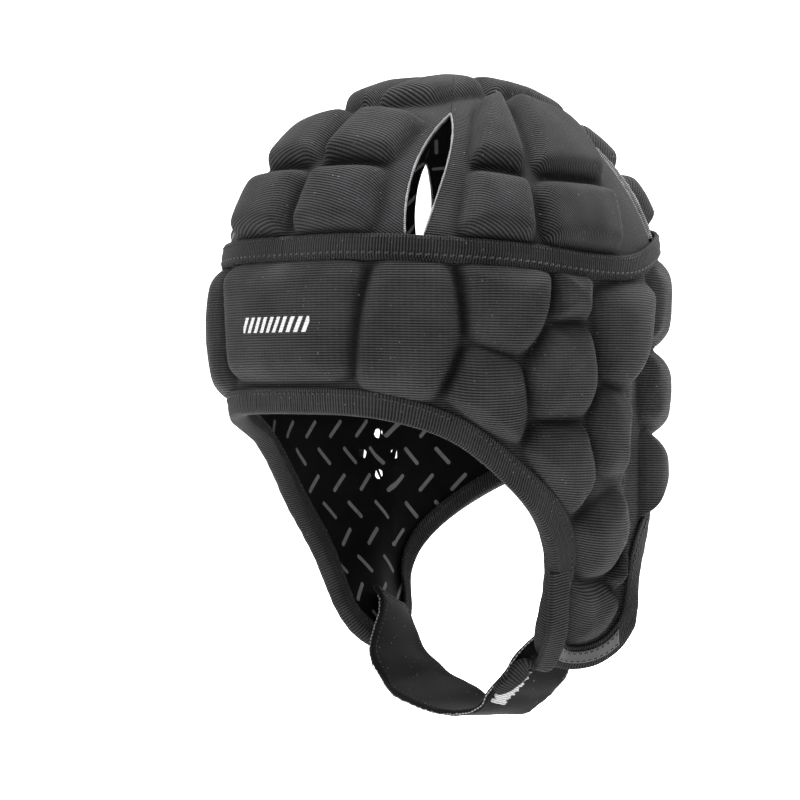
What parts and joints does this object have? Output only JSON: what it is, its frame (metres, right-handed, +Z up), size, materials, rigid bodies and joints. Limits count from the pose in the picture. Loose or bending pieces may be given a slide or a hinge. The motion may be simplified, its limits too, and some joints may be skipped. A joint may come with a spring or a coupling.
{
  "type": "rugby scrum cap",
  "caption": "Soft padded rugby headguard: foam cells in a stretch cover, vents, ear flaps, bound edge and a fastened chin strap.",
  "frame": {"origin": "inside of the crown, where the cap sits on the head", "axes": "+Z up, -Y towards the face opening, +X the wearer's left"},
  "size_m": [0.185, 0.2094, 0.2815],
  "materials": {
    "cover": "matt ribbed stretch fabric, charcoal black",
    "pad_cover": "matt ribbed stretch fabric over foam, charcoal black",
    "lining": "smooth dark lining with a grey print",
    "band": "ribbed tape with two rows of stitching",
    "binding": "cross-ribbed stretch tape",
    "strap": "smooth inside, loop pile outside",
    "hook": "light hook tape"
  },
  "bodies": {
    "root": {"crown_shell": "cover", "side_shell": "cover", "lining": "lining", "seam_band": "band", "edge_binding": "binding", "crown_top_front_left": "pad_cover", "crown_top_front_right": "pad_cover", "crown_top_rear_left": "pad_cover", "crown_top_rear_right": "pad_cover", "crown_front_upper_left": "pad_cover", "crown_front_upper_right": "pad_cover", "crown_front_lower_left": "pad_cover", "crown_front_lower_right": "pad_cover", "crown_side_upper_front_left": "pad_cover", "crown_side_upper_front_right": "pad_cover", "crown_side_upper_rear_left": "pad_cover", "crown_side_upper_rear_right": "pad_cover", "crown_side_lower_front_left": "pad_cover", "crown_side_lower_front_right": "pad_cover", "crown_side_lower_rear_left": "pad_cover", "crown_side_lower_rear_right": "pad_cover", "crown_rear_upper_left": "pad_cover", "crown_rear_upper_right": "pad_cover", "crown_rear_lower_left": "pad_cover", "crown_rear_lower_right": "pad_cover", "pad_temple_left": "pad_cover", "pad_temple_right": "pad_cover", "pad_cheek_upper_left": "pad_cover", "pad_cheek_upper_right": "pad_cover", "pad_ear_upper_left": "pad_cover", "pad_ear_upper_right": "pad_cover", "pad_ear_front_left": "pad_cover", "pad_ear_front_right": "pad_cover", "pad_cheek_left": "pad_cover", "pad_cheek_right": "pad_cover", "pad_ear_rear_left": "pad_cover", "pad_ear_rear_right": "pad_cover", "pad_jaw_front_left": "pad_cover", "pad_jaw_front_right": "pad_cover", "pad_ear_lower_left": "pad_cover", "pad_ear_lower_right": "pad_cover", "pad_neck_upper_left": "pad_cover", "pad_neck_upper_right": "pad_cover", "pad_neck_left": "pad_cover", "pad_neck_right": "pad_cover", "pad_neck_lower_left": "pad_cover", "pad_neck_lower_right": "pad_cover", "pad_flap_upper_left": "pad_cover", "pad_flap_upper_right": "pad_cover", "pad_flap_rear_left": "pad_cover", "pad_flap_rear_right": "pad_cover", "pad_flap_lower_left": "pad_cover", "pad_flap_lower_right": "pad_cover", "pad_nape_upper_left": "pad_cover", "pad_nape_upper_right": "pad_cover", "pad_forehead": "pad_cover", "pad_nape_lower": "pad_cover", "chin_strap": "strap", "hook_patch": "hook", "closure_tongue": "binding"}
  },
  "joints": []
}
